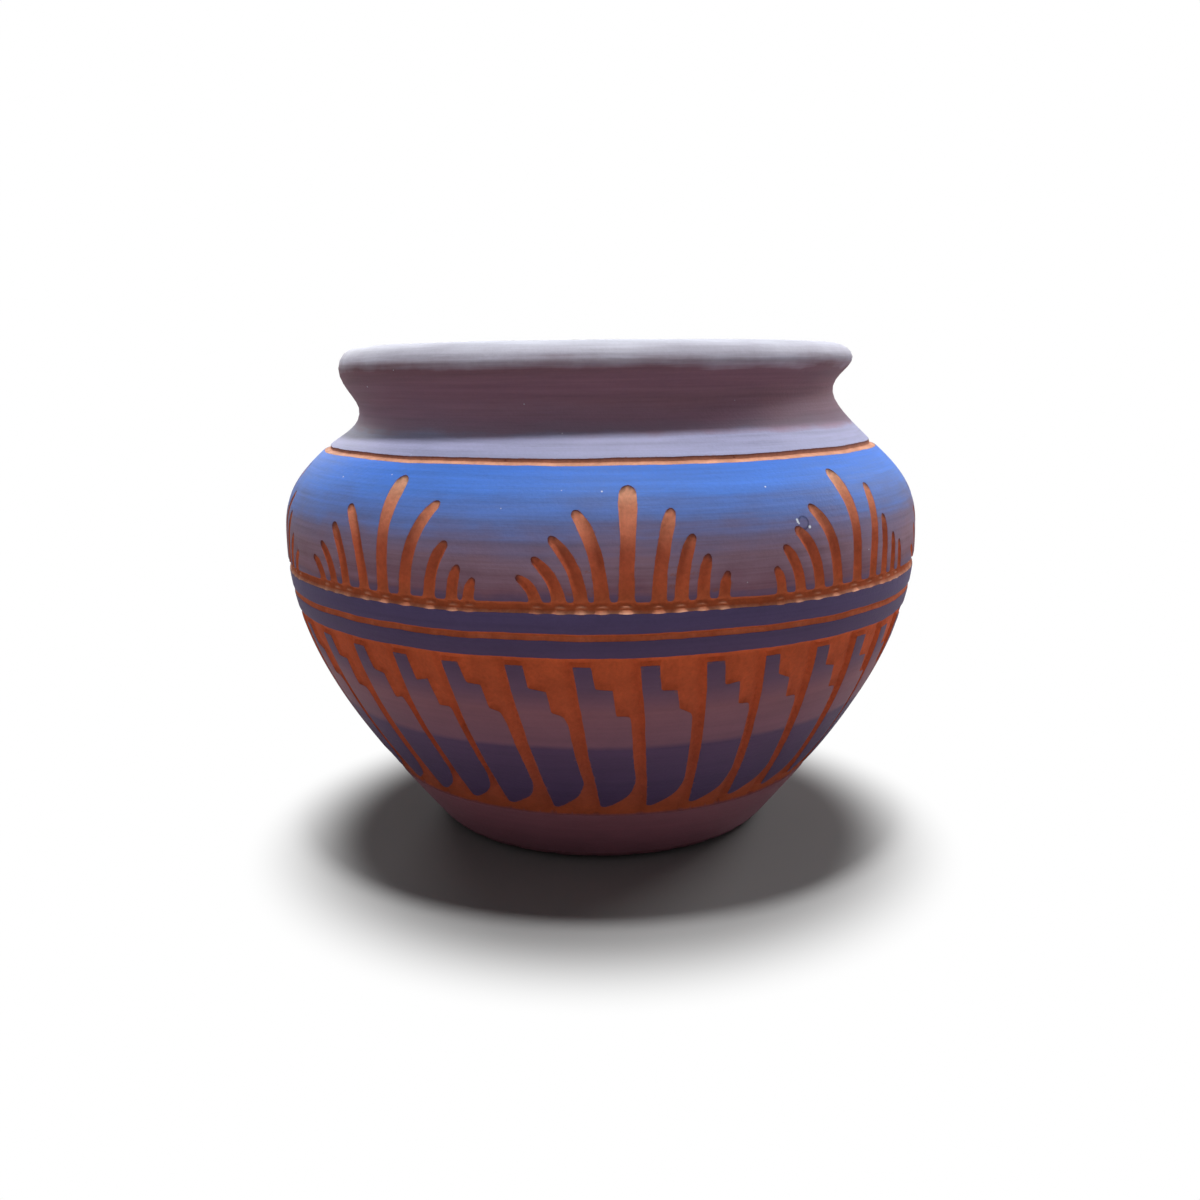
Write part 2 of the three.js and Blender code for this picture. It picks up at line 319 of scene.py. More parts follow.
def insideLoop(points, loop):
    loop = np.array(loop)
    inside = np.zeros(len(points), bool)
    x, y = points[:, 0], points[:, 1]
    for a, b in zip(loop, np.roll(loop, -1, axis=0)):
        crosses = (a[1] > y) != (b[1] > y)
        if crosses.any():
            at = a[0] + (y - a[1]) * (b[0] - a[0]) / ((b[1] - a[1]) or 1e-9)
            inside ^= crosses & (x < at)
    return inside


def distanceTo(points, starts, ends):  # distance in mm on the wall from points to straight pieces
    scale = squeeze(points[:, 1])[:, None]
    ax = (points[:, :1] - starts[None, :, 0]) * scale
    ay = points[:, 1:] - starts[None, :, 1]
    bx = (ends - starts)[None, :, 0] * scale
    by = (ends - starts)[None, :, 1]
    t = np.clip((ax * bx + ay * by) / np.maximum(bx * bx + by * by, 1e-12), 0, 1)
    return np.hypot(ax - bx * t, ay - by * t).min(axis=1)


def rowsOfPoints(low, high, step):
    rows = []
    count = max(1, round((high - low) / step))
    for row in range(count):
        y = low + (row + 0.5) * (high - low) / count
        across = max(12, round(tileWidth * squeeze(y) / step))
        shift = 0.25 if row % 2 else 0.75
        rows += [(borderX(y) + (i + shift) * (tileWidth / across), y) for i in range(across)]
    return np.array(rows)


# triangles inside a region: contours are kept as edges, loose points fill what lies between
def triangles(contours, loose, region):
    points, edges = [], []
    for path in contours:  # a closed one ends on its first point
        first, closed = len(points), path[0] == path[-1]
        points += path[:-1] if closed else path
        edges += [(i, i + 1) for i in range(first, len(points) - 1)]
        if closed:
            edges.append((len(points) - 1, first))
    edgeCount = len(points)
    points += [tuple(p) for p in loose]
    found = delaunay_2d_cdt([Vector(p) for p in points], edges, [], 0, 1e-6, True)
    flat = np.array([tuple(v) for v in found[0]])
    onEdge = np.array([bool(ids) and min(ids) < edgeCount for ids in found[3]])
    faces = np.array([face for face in found[2] if len(face) == 3])
    a, b, c = flat[faces[:, 0]], flat[faces[:, 1]], flat[faces[:, 2]]
    area = np.abs((b[:, 0] - a[:, 0]) * (c[:, 1] - a[:, 1]) - (c[:, 0] - a[:, 0]) * (b[:, 1] - a[:, 1]))
    kept = (area > mesh["smallest"]) & insideLoop((a + b + c) / 3, region)
    return flat, [tuple(face) for face in faces[kept].tolist()], onEdge


def clearOf(points, contours, distance):  # only the points that keep their distance, worked out in portions
    starts = np.concatenate([path[:-1] for path in contours])
    ends = np.concatenate([path[1:] for path in contours])
    portions = np.array_split(points, max(1, len(points) // 1500))
    return points[np.concatenate([distanceTo(portion, starts, ends) for portion in portions]) > distance]


def tileBorders(low, high, levels, fine, plainStep):
    stops = sorted({low, high, *[v for v in levels if low < v < high]})
    heights = []
    for a, b in zip(stops, stops[1:]):
        middle = (a + b) / 2
        step = next((s for l, h, s in fine if l <= middle <= h), plainStep)
        count = max(1, round((b - a) / step))
        heights += [a + (b - a) * i / count for i in range(count)]
    heights.append(stops[-1])
    left = [(borderX(y), y) for y in heights]
    return left, [(x + tileWidth, y) for x, y in left]


def onTileBorder(flat):
    gap = flat[:, 0] - borderX(flat[:, 1])
    return (np.abs(gap) < mesh["hair"]) | (np.abs(gap - tileWidth) < mesh["hair"])


def levelLine(along, step):
    start = borderX(along)
    return runBetween((start, along), (start + tileWidth, along), step) + [(start + tileWidth, along)]


# a plan for each flat tile: one fan with the four feathers below it, and the feathers next to them
def tilePlan(place):
    shift, table = fanTable(place)
    middle = fans["turn"] + shift
    plumes = []
    for i, (base, tip, height) in enumerate(table):
        outward = abs(i - 4)
        widths, tipLength = fans["middleWidths"], fans["middleTip"]
        if outward:
            narrow = fans["narrowing"] * (outward - 1)
            widths, tipLength = [w - narrow for w in fans["sideWidths"]], fans["sideTip"]
        plumes.append(plumeShape(middle + base, middle + tip, height, widths, tipLength))
    low, high = borderX(upperTop), borderX(fanLow)
    comb = fanEdge(plumes, high, high + tileWidth)
    nicks = stripeTopEdge(plumes, low, low + tileWidth)
    loops, perFan = [], feather["count"] // fans["count"]
    for k in range(-2, perFan):
        number = (perFan * place + k) % feather["count"]
        turn = flatX((featherAngle(number) - pitch * place + 180) % 360 - 180)
        loops.append([(x + turn, y) for x, y in featherLoop(number)])
    return {"plumes": plumes, "comb": comb, "nicks": nicks, "fan": comb + nicks[::-1],
            "feathers": loops[1:-1], "nearFeathers": loops}


plans = [tilePlan(place) for place in range(fans["count"])]
print("bowl: fans and feathers drawn")


def ringCut(y, low, high, deep):  # a long lower slope that faces up, below a steep wall
    share = np.clip((y - low) / (high - low), 0, 1)
    deepest, lowPower, highPower = cuts["ringForm"]
    lower, upper = 1 - share / deepest, (share - deepest) / (1 - deepest)
    return deep * np.where(share < deepest, 1 - np.abs(lower) ** lowPower, 1 - np.abs(upper) ** highPower)


# one plume at points near it: its depth, the crest at its foot, a painted highlight on that crest and on the line
# below it, and painted shade just inside its tip
def plumeCut(x, y, scale, lowLine, shape):
    line, half, tip = shape["line"], shape["half"], shape["tip"]
    count = len(line)
    dx = (x[:, None] - line[None, :, 0]) * scale[:, None]
    dy = y[:, None] - line[None, :, 1]
    gap = np.hypot(dx, dy)
    best = gap.argmin(axis=1)
    forward = (line[-1] - line[-2]) * (squeeze(line[-1][1]), 1)
    forward /= np.hypot(*forward)
    last = dx[:, -1] * forward[0] + dy[:, -1] * forward[1]
    aside = dx[:, -1] * forward[1] - dy[:, -1] * forward[0]
    tipShare = np.hypot(aside / half[-1], last / tip)
    share = gap[np.arange(len(x)), best] / half[best]
    share = np.where((best >= count - 2) & (last > 0), tipShare, share)
    footShare = np.hypot(dx[:, 0] / half[0], dy[:, 0] / cuts["footReach"])
    share = np.where((best == 0) & (dy[:, 0] < 0), footShare, share)
    power = np.interp(best, [0, count * 0.8, count - 1], cuts["plumePowers"])
    deep = cuts["plume"] * half[best] / cuts["plumeHalf"] * (1 - np.minimum(share, 1) ** power)
    deep *= np.interp(best, [0, count * 0.4, count * 0.75, count - 1], cuts["plumeDepths"])
    across = dx[:, 0] / half[0]
    inside = np.clip(1 - across ** 2, 0, 1)
    ridge = np.exp(-((dy[:, 0] + cuts["crestArch"] * across ** 2) / cuts["crestWidth"]) ** 2) * inside
    above = (y - upperTop) / cuts["stepRise"]
    under = np.where(lowLine, np.exp(-0.7 * above ** 2) * inside, 0)
    # painted shade just inside the tip, where its steep end wall would throw a shadow
    shadeUnderTip = np.clip((tipShare - cuts["tipFrom"]) / cuts["tipFade"], 0, 1) * np.clip(last / tip * 1.4, 0, 1)
    shadeUnderTip = np.where((best >= count - 2) & (tipShare < 1.06), cuts["tipShade"] * shadeUnderTip, 0)
    return deep, cuts["crest"] * ridge, np.maximum(0.5 * ridge ** 2, under), shadeUnderTip


# the band of feathers: the sunk clay round them, with a slanted groove along each left edge
def featherCut(points, scale, plan):
    x, y = points[:, 0], points[:, 1]
    band = (y > footTop) & (y < lowerLow)
    inFeather = np.zeros(len(points), bool)
    loops = [np.array(loop) for loop in plan["nearFeathers"]]
    for loop in loops:
        inFeather |= insideLoop(points, loop)
    ends = [np.roll(loop, -1, axis=0) for loop in loops]
    bare = np.where(band & ~inFeather)[0]  # the two level edges of the band count as edges too
    gap = distanceTo(points[bare], np.concatenate(loops), np.concatenate(ends))
    gap = np.minimum(gap, np.minimum(y[bare] - footTop, lowerLow - y[bare]))
    carved = cuts["featherField"] * (1 - np.clip(1 - gap / cuts["fieldSlope"], 0, 1) ** 2)
    groove = np.zeros(len(bare))
    heights = range(8, 29)
    top = feather["outline"][0][1]
    below = np.interp(y[bare], [alongAt(h) for h in heights], [top - h for h in heights])
    for loop in loops:
        edgeX = loop[loop[:, 1] > featherTop - 0.3][:, 0].min() + flatX(feather["lean"]) * below
        across = (x[bare] - edgeX) * scale[bare] + cuts["dividerWidth"] / 2
        share = np.abs(across) / (cuts["dividerWidth"] / 2)
        groove = np.maximum(groove, cuts["divider"] * (1 - np.minimum(share, 1) ** cuts["dividerPower"]))
    return bare, carved + groove * np.clip(gap / 0.2, 0, 1), band & inFeather


def clayDepth(points, onEdge, plan):  # depth below the skin in mm, the cut in it, and painted light: highlight above nought, shade below
    x, y = points[:, 0], points[:, 1]
    scale = squeeze(y)
    inFan = insideLoop(points, plan["fan"])
    covered = np.zeros(len(points), bool)
    for low, high in ((footLow, footTop), (lowerLow, lowerTop), (upperLow, upperTop), (upperTop, fanTop),
                      (rimLow, throatEdge)):
        covered |= (y > low) & (y < high)
    covered &= ~inFan
    above = (y - upperTop) / cuts["stepRise"]  # the gouge left a small step along the stripe below
    lowLine = (y > upperTop - 0.1) & (y < fanLow - 0.3)
    cut, paintedShade = np.zeros(len(points)), np.zeros(len(points))
    # a painted highlight along the top of the upper stripe, under the feet of the plumes
    paintedHighlight = np.where(lowLine, cuts["lowLineHighlight"] * np.exp(-1.2 * above ** 2), 0)
    # the neck and stripe rings: their cut, a painted highlight on the lower slope and painted shade under the
    # upper wall
    for low, high, deep, tone in ((fanTop, rimLow, cuts["neckRing"], cuts["neckRingPaintedLight"]),
                                  (lowerTop, upperLow, cuts["stripeRing"], cuts["stripeRingPaintedLight"])):
        cut = np.where((y > low) & (y < high), ringCut(y, low, high, deep), cut)
        share = (y - low) / (high - low)
        onRing = (share >= -1e-6) & (share <= 1 + 1e-6)
        paintedHighlight += onRing * tone * np.interp(share, [0, 0.15, 0.5, 0.72], [0.5, 1, 0.8, 0])
        paintedShade += onRing * tone * np.interp(share, [0.68, 0.86, 1], [0, 1.9, 2.3])
    ring = ringCut(y, upperTop, fanLow, cuts["fanRing"])
    ring = np.where(y < fanLow, ring + cuts["ringStep"] * np.clip(above, 0, 1), 0)
    near = np.where(inFan | onEdge)[0]
    sharp, crest = np.zeros(len(points)), np.zeros(len(points))
    # each plume adds its cut, its crest, a painted highlight and painted shade under its tip
    for shape in plan["plumes"]:
        deep, ridge, light, shadeUnderTip = plumeCut(x[near], y[near], scale[near], lowLine[near], shape)
        sharp[near] = np.maximum(sharp[near], deep)
        crest[near] = np.maximum(crest[near], ridge)
        paintedHighlight[near] = np.maximum(paintedHighlight[near], light)
        paintedShade[near] += shadeUnderTip
    cut = np.where(inFan, np.maximum(np.maximum(ring, sharp) - crest, 0), cut)
    bare, carved, inFeather = featherCut(points, scale, plan)
    cut[bare] = carved
    covered |= inFeather
    depth = np.where(covered, cuts["clayUnderSlip"], cuts["clayAtEdge"] + cut)
    depth[onEdge] = cuts["clayAtEdge"]
    return depth, np.where(onEdge | covered, 0, cut), paintedHighlight - paintedShade


def sheetMesh(name, points, faces, attributes):
    made = bpy.data.meshes.new(name)
    made.from_pydata([(x * mm, y * mm, z * mm) for x, y, z in points], [], faces)
    for label, values in attributes.items():
        layer = made.attributes.new(label, "FLOAT", "POINT")
        layer.data.foreach_set("value", np.array(values, np.float32))
    return made


def footGrid(shape):  # close points where a plume runs into the ring
    across = np.linspace(-0.85, 0.85, 7) * shape["half"][0] / squeeze(fanLow)
    return [(shape["line"][0][0] + x, y) for y in fanLow - np.arange(0.06, 0.8, 0.11) for x in across]


# loose points of one clay tile: close together where it is carved, wide apart under the slip
def clayPoints(plan, fine):
    loose = []
    for low, high, step in fine:
        rows = rowsOfPoints(low, high, step)
        if low == footTop:
            for loop in plan["feathers"]:
                rows = rows[~insideLoop(rows, loop)]
        if high == fanLow:
            for shape in plan["plumes"]:
                off = np.abs(rows[:, 0] - shape["line"][0][0]) * squeeze(high)
                rows = rows[(off > shape["half"][0]) | (rows[:, 1] < high - 0.85)]
                loose.append(np.array(footGrid(shape)))
        loose.append(rows)
    rows = rowsOfPoints(fanLow, fanTop, mesh["fine"])
    loose.append(rows[insideLoop(rows, plan["fan"])])
    for low, high, step in ((0.8, footLow, 1.5), (footLow, footTop, mesh["plain"]),
                            (featherLow, featherTop, mesh["plain"]), (lowerLow, lowerTop, 0.8),
                            (upperLow, upperTop, 0.8), (fanLow, fanTop, 1.3),
                            (rimLow, throatEdge, mesh["plain"]), (throatEdge, wallEnd - 0.8, 1.5)):
        rows = rowsOfPoints(low, high, step)
        if low == featherLow:
            rows = rows[np.any([insideLoop(rows, loop) for loop in plan["feathers"]], axis=0)]
        if low == fanLow:
            rows = rows[~insideLoop(rows, plan["fan"])]
        loose.append(rows)
    return np.concatenate(loose)


def clayTile(place):
    plan = plans[place]
    lines = [(footLow, 1.6), (footTop, 0.45), (lowerLow, 0.45), (lowerTop, 0.4), (upperLow, 0.4), (fanTop, 0.4),
             (rimLow, 0.4), (throatEdge, 1.2)]  # level lines with the step between their points
    levels = [along for along, step in lines] + [upperTop, fanLow]
    fine = [(footTop, lowerLow, mesh["fine"])]
    fine += [(low, high, (high - low) / 5) for low, high in ((lowerTop, upperLow), (upperTop, fanLow),
                                                             (fanTop, rimLow))]
    left, right = tileBorders(0, wallEnd, levels, fine, mesh["plain"])
    contours = [left, right]
    contours += [[(borderX(along) + tileWidth * i / 12, along) for i in range(13)] for along in (0, wallEnd)]
    contours += [levelLine(along, step) for along, step in lines] + [plan["comb"], plan["nicks"]]
    contours += [loop + loop[:1] for loop in plan["feathers"]]
    loose = clearOf(clayPoints(plan, fine), contours, mesh["clearance"])
    flat, faces, onEdge = triangles(contours, loose, left + right[::-1])
    onBorder = onTileBorder(flat)
    onLine = np.min(np.abs(flat[:, 1][:, None] - np.array(levels)[None, :]), axis=1) < mesh["hair"]
    atEdge = (onEdge & ~onBorder) | (onBorder & onLine)
    atEdge &= (flat[:, 1] >= footLow - 0.01) & (flat[:, 1] <= throatEdge + 0.01)
    asked = flat.copy()  # borders are measured a hair inside the tile, so that both tiles agree
    onLeft = flat[onBorder, 0] - borderX(flat[onBorder, 1]) < 1
    asked[onBorder, 0] += np.where(onLeft, mesh["hair"], -mesh["hair"])
    return flat, faces, clayDepth(asked, atEdge, plan)


def clayFlat():
    points, faces, cutDepth, paintedLight = [], [], [], []
    for place in range(fans["count"]):
        flat, found, (depth, cut, tone) = clayTile(place)
        first = len(points)
        points += [(x + tileWidth * place, y, -d) for (x, y), d in zip(flat, depth)]
        faces += [[first + i for i in face] for face in found]
        cutDepth += list(cut)
        paintedLight += list(tone)
    underside = slice(footPlace + 4)
    rest = np.interp(wall["footRadius"] - wall["footRound"], profile[underside, 0], profileAlong[underside])
    along = np.array([y for x, y, z in points])
    inside = np.clip((along - throatEdge) / 0.5, 0, 1)
    wash = np.clip((along - rest + 0.6) / 0.6, 0, 1) * (along < footTop)
    return sheetMesh("clayFlat", points, faces, {"cut": cutDepth, "paintedLight": paintedLight, "inside": inside,
                                                 "wash": wash})


# a thin coat between two layers, closed all round except where tiles meet
def coatFlat(tiles):
    points, faces, edgeValues = [], [], []
    for turn, flat, found, onEdge, onBorder in tiles:
        first, count = len(points), len(flat)
        points += [(x + turn, y, d) for (x, y), d in zip(flat, np.where(onEdge, -slip["easing"], 0))]
        points += [(x + turn, y, -slip["thickness"]) for x, y in flat]
        edgeValues += list(onEdge.astype(float)) * 2
        faces += [[first + i for i in face] for face in found]
        faces += [[first + count + i for i in reversed(face)] for face in found]
        seen = dict.fromkeys((a, b) for face in found for a, b in zip(face, (*face[1:], face[0])))
        for a, b in seen:
            if (b, a) not in seen and not (onBorder[a] and onBorder[b]):
                faces.append([first + b, first + a, first + count + a, first + count + b])
    return sheetMesh("coatFlat", points, faces, {"edge": edgeValues})


def coatTile(place, lowPath, highPath, step, edgeStep):
    low, high = lowPath[0][1], highPath[0][1]
    left, right = tileBorders(low, high, [], [(low, high, edgeStep)], step)
    contours = [left, right, lowPath, highPath]
    region = lowPath + right + highPath[::-1] + left[::-1]
    rows = rowsOfPoints(min(p[1] for p in lowPath), max(p[1] for p in highPath), step)
    rows = clearOf(rows[insideLoop(rows, region)], contours, step * 0.42)
    flat, faces, onEdge = triangles(contours, rows, region)
    onBorder = onTileBorder(flat)
    ends = (np.abs(flat[:, 1] - low) < mesh["hair"]) | (np.abs(flat[:, 1] - high) < mesh["hair"])
    return (tileWidth * place, flat, faces, onEdge & ~(onBorder & ~ends), onBorder)


def featherFlat(place):
    loop = featherLoop(place)
    contours = [loop + loop[:1]]
    xs, rows, step = [x for x, y in loop], [], mesh["feather"]
    for row, y in enumerate(np.arange(featherLow, featherTop, step)):
        gap = step / squeeze(y)
        rows += [(x, y) for x in np.arange(min(xs) + (gap / 2 if row % 2 else 0), max(xs), gap)]
    rows = np.array(rows)
    rows = clearOf(rows[insideLoop(rows, loop)], contours, step * 0.45)
    flat, faces, onEdge = triangles(contours, rows, loop)
    return coatFlat([(0, flat, faces, onEdge, np.zeros(len(flat), bool))])


# places a node, links or sets its inputs, and gives back its outputs
def addNode(tree, kind, inputs=None, **settings):
    made = tree.nodes.new(kind)
    for key, value in settings.items():
        setattr(made, key, value)
    for key, value in (inputs or {}).items():
        if isinstance(value, bpy.types.NodeSocket):
            tree.links.new(value, made.inputs[key])
        else:
            made.inputs[key].default_value = value
    return made.outputs


def maths(tree, operation, a, b=0.0, c=0.0, **settings):
    return addNode(tree, "ShaderNodeMath", {0: a, 1: b, 2: c}, operation=operation, **settings)[0]


def vector(tree, operation, a, b=(0, 0, 0), scale=1.0):
    made = addNode(tree, "ShaderNodeVectorMath", {0: a, 1: b, 3: scale}, operation=operation)
    return made["Value" if operation in ("DOT_PRODUCT", "DISTANCE") else "Vector"]


def separated(tree, value):
    return addNode(tree, "ShaderNodeSeparateXYZ", {0: value})


def mapped(tree, value, low, high, first=0.0, last=1.0, **settings):
    return addNode(tree, "ShaderNodeMapRange", {0: value, 1: low, 2: high, 3: first, 4: last},
                   **settings)[0]


def noise(tree, where, scale, detail, roughness=0.5):
    return addNode(tree, "ShaderNodeTexNoise", {"Vector": where, "Scale": scale, "Detail": detail,
                                                "Roughness": roughness})


# how a hand-made bowl strays from the turned form: how far, and how close the waves are
handwork = {
    "Wander": 0.42 * mm, "Wander Scale": 115.0, "Shake": 0.13 * mm, "Shake Scale": 620.0,
    "Uneven": 0.2 * mm, "Uneven Scale": 42.0, "Neck Tilt": 1.05 * mm, "Neck Press": 0.45 * mm,
    "Seed": 5, "Sharp Angle": math.radians(38),
}
# heights in m between which it sets in or ends: straying above the foot, tilt and press at the neck
reaches = {"stray": (0.0006, 0.005), "neckStarts": (0.0455, 0.0505), "neckEnds": (0.052, 0.058)}


def wrapOnWall():
    tree = bpy.data.node_groups.new("wrapOnWall", "GeometryNodeTree")
    tree.is_modifier = True
    sockets = [("Geometry", "Geometry"), ("Profile", "Object"), ("Copies", "Int")]
    sockets += [(label, "Float") for label in ("Step", "Turn", "Flat Radius")]
    sockets += [(label, "Int" if label == "Seed" else "Float") for label in handwork]
    sockets += [("Material", "Material")]
    for label, kind in sockets:
        tree.interface.new_socket(label, in_out="INPUT", socket_type="NodeSocket" + kind)
    tree.interface.new_socket("Geometry", in_out="OUTPUT", socket_type="NodeSocketGeometry")
    given = addNode(tree, "NodeGroupInput")

    def multiply(a, b):
        return maths(tree, "MULTIPLY", a, b)

    def xyz(x=0.0, y=0.0, z=0.0):
        return addNode(tree, "ShaderNodeCombineXYZ", {0: x, 1: y, 2: z})[0]

    def smooth(value, low, high, first=0.0, last=1.0):
        return mapped(tree, value, low, high, first, last, interpolation_type="SMOOTHSTEP")

    # copies of the flat sheet side by side
    offset = xyz(multiply(given["Step"], given["Flat Radius"]))
    row = addNode(tree, "GeometryNodeMeshLine", {"Count": given["Copies"], "Offset": offset})
    placed = addNode(tree, "GeometryNodeInstanceOnPoints", {"Points": row["Mesh"],
                                                            "Instance": given["Geometry"]})
    laid = addNode(tree, "GeometryNodeRealizeInstances", {"Geometry": placed["Instances"]})

    # across the sheet becomes an angle, up the sheet a place on the profile
    flat = separated(tree, addNode(tree, "GeometryNodeInputPosition")[0])
    angle = maths(tree, "ADD", maths(tree, "DIVIDE", flat[0], given["Flat Radius"]), given["Turn"])
    curve = addNode(tree, "GeometryNodeObjectInfo", {"Object": given["Profile"]}, transform_space="RELATIVE")
    sample = addNode(tree, "GeometryNodeSampleCurve", {"Curves": curve["Geometry"], "Length": flat[1]},
                     mode="LENGTH", use_all_curves=True)
    place = separated(tree, sample["Position"])
    along = separated(tree, sample["Tangent"])
    sine, back = maths(tree, "SINE", angle), multiply(maths(tree, "COSINE", angle), -1.0)
    outward = multiply(along[0], -1.0)
    radius = maths(tree, "MULTIPLY_ADD", along[2], flat[2], place[0])
    height = maths(tree, "MULTIPLY_ADD", outward, flat[2], place[2])
    normal = xyz(multiply(along[2], sine), multiply(along[2], back), outward)
    onWall = xyz(multiply(radius, sine), multiply(radius, back), height)

    # drawing that wanders along the wall, a wall that isn't quite round; the foot stays flat
    seed = vector(tree, "SCALE", (1.7, 0.9, 2.3), scale=given["Seed"])
    loose = smooth(place[2], *reaches["stray"])

    def drift(amount, detail):
        where = vector(tree, "SCALE", onWall, scale=given[amount + " Scale"])
        waves = noise(tree, vector(tree, "ADD", where, seed), 1.0, detail)["Color"]
        centred = vector(tree, "SUBTRACT", waves, (0.5, 0.5, 0.5))
        return vector(tree, "SCALE", centred, scale=given[amount])

    strayed = vector(tree, "ADD", drift("Wander", 1.0), drift("Shake", 1.0))
    away = vector(tree, "DOT_PRODUCT", strayed, normal)
    strayed = vector(tree, "SUBTRACT", strayed, vector(tree, "SCALE", normal, scale=away))
    bulge = vector(tree, "DOT_PRODUCT", drift("Uneven", 1.5), (1.0, 1.0, 0.0))
    strayed = vector(tree, "ADD", strayed, vector(tree, "SCALE", normal, scale=bulge))
    strayed = vector(tree, "SCALE", strayed, scale=loose)

    # a neck that tilts, and is pressed to the left on its right-hand side
    rising = smooth(height, *reaches["neckStarts"])
    fading = smooth(height, *reaches["neckEnds"], 1.0, 0.0)
    tilt = multiply(multiply(multiply(rising, fading), sine), given["Neck Tilt"])
    press = multiply(multiply(maths(tree, "ADD", sine, 1.0), rising), given["Neck Press"])
    moved = vector(tree, "ADD", vector(tree, "ADD", onWall, strayed), xyz(x=multiply(press, -1.0), z=tilt))
    corner = addNode(tree, "GeometryNodeInputMeshEdgeAngle")[0]
    sharp = addNode(tree, "FunctionNodeCompare", {0: corner, 1: given["Sharp Angle"]}, data_type="FLOAT",
                    operation="GREATER_THAN")[0]
    shape = laid[0]
    for kind, inputs, settings in (
            ("GeometryNodeSetPosition", {"Position": moved}, {}),
            ("GeometryNodeMergeByDistance", {"Distance": 0.002 * mm}, {}),
            ("GeometryNodeSetShadeSmooth", {"Shade Smooth": True}, {}),
            ("GeometryNodeSetShadeSmooth", {"Selection": sharp, "Shade Smooth": False}, {"domain": "EDGE"}),
            ("GeometryNodeRealizeInstances", {}, {}),
            ("GeometryNodeSetMaterial", {"Material": given["Material"]}, {})):
        shape = addNode(tree, kind, {"Geometry": shape, **inputs}, **settings)[0]
    addNode(tree, "NodeGroupOutput", {0: shape})
    return tree


def addObject(name, data):
    made = bpy.data.objects.new(name, data)
    scene.collection.objects.link(made)
    return made


def profileCurve():
    curve = bpy.data.curves.new("wallProfile", "CURVE")
    curve.dimensions = "3D"
    spline = curve.splines.new("POLY")
    spline.points.add(len(profile) - 1)
    for point, (r, z) in zip(spline.points, profile):
        point.co = (r * mm, 0, z * mm, 1)
    return addObject("wallProfile", curve)


wrap = wrapOnWall()
profileObject = profileCurve()
socketIds = {item.name: item.identifier for item in wrap.interface.items_tree if item.in_out == "INPUT"}


def wrapped(name, flatMesh, material, copies, turn):
    sheet = addObject(name + "Flat", flatMesh)
    modifier = sheet.modifiers.new("wrapOnWall", "NODES")
    modifier.node_group = wrap
    values = {"Profile": profileObject, "Copies": copies, "Step": math.radians(pitch),
              "Turn": math.radians(turn), "Flat Radius": flatRadius * mm, "Material": material, **handwork}
    for label, value in values.items():
        modifier[socketIds[label]] = value
    bpy.context.view_layer.update()
    depsgraph = bpy.context.evaluated_depsgraph_get()
    made = bpy.data.meshes.new_from_object(sheet.evaluated_get(depsgraph), depsgraph=depsgraph)
    made.name = name
    sheet.modifiers.remove(modifier)
    bpy.data.objects.remove(sheet)
    bpy.data.meshes.remove(flatMesh)
    return addObject(name, made)


# a new material with its tree, and the object coordinates in it
def newMaterial(name):
    material = bpy.data.materials.new(name)
    material.use_nodes = True
    tree = material.node_tree
    tree.nodes.clear()
    return material, tree, addNode(tree, "ShaderNodeTexCoord")["Object"]


def srgb(red, green, blue):  # a colour picked off a screen, as linear light
    return tuple(c / 12.92 if c <= 0.04045 else ((c + 0.055) / 1.055) ** 2.4
                 for c in (red / 255, green / 255, blue / 255))


def ramp(tree, factor, stops):
    made = addNode(tree, "ShaderNodeValToRGB", {0: factor})
    elements = made[0].node.color_ramp.elements
    while len(elements) > 1:
        elements.remove(elements[-1])
    for i, (place, colour) in enumerate(stops):
        element = elements[0] if i == 0 else elements.new(place)
        element.position = place
        element.color = (*colour, 1)
    return made[0]


def overlaid(tree, share, colour, other):  # another screen colour laid over the first, by a share
    return addNode(tree, "ShaderNodeMix", {0: share, 6: colour, 7: (*srgb(*other), 1)},
                   data_type="RGBA")[2]


def attribute(tree, name):
    return addNode(tree, "ShaderNodeAttribute", attribute_name=name)["Fac"]


# colour by height in mm; each drift is an amount in mm with what carries the colour up or down
def heightColour(tree, here, stops, drifts=(), clamp=True):
    low, high = stops[0][0], stops[-1][0]
    share = mapped(tree, separated(tree, here)[2], low * mm, high * mm, clamp=clamp)
    for amount, source in drifts:
        share = maths(tree, "MULTIPLY_ADD", source, amount / (high - low), share)
    return ramp(tree, share, [((h - low) / (high - low), srgb(*c)) for h, c in stops])


def finishMaterial(tree, colour, rough, relief, look):
    raised = addNode(tree, "ShaderNodeBump", {"Strength": look["bump"], "Distance": look["bumpDistance"],
                                              "Height": relief})
    shader = addNode(tree, "ShaderNodeBsdfPrincipled", {"Base Color": colour, "Roughness": rough,
                                                        "Normal": raised[0],
                                                        "Specular IOR Level": look["shine"]})
    addNode(tree, "ShaderNodeOutputMaterial", {0: shader[0]})


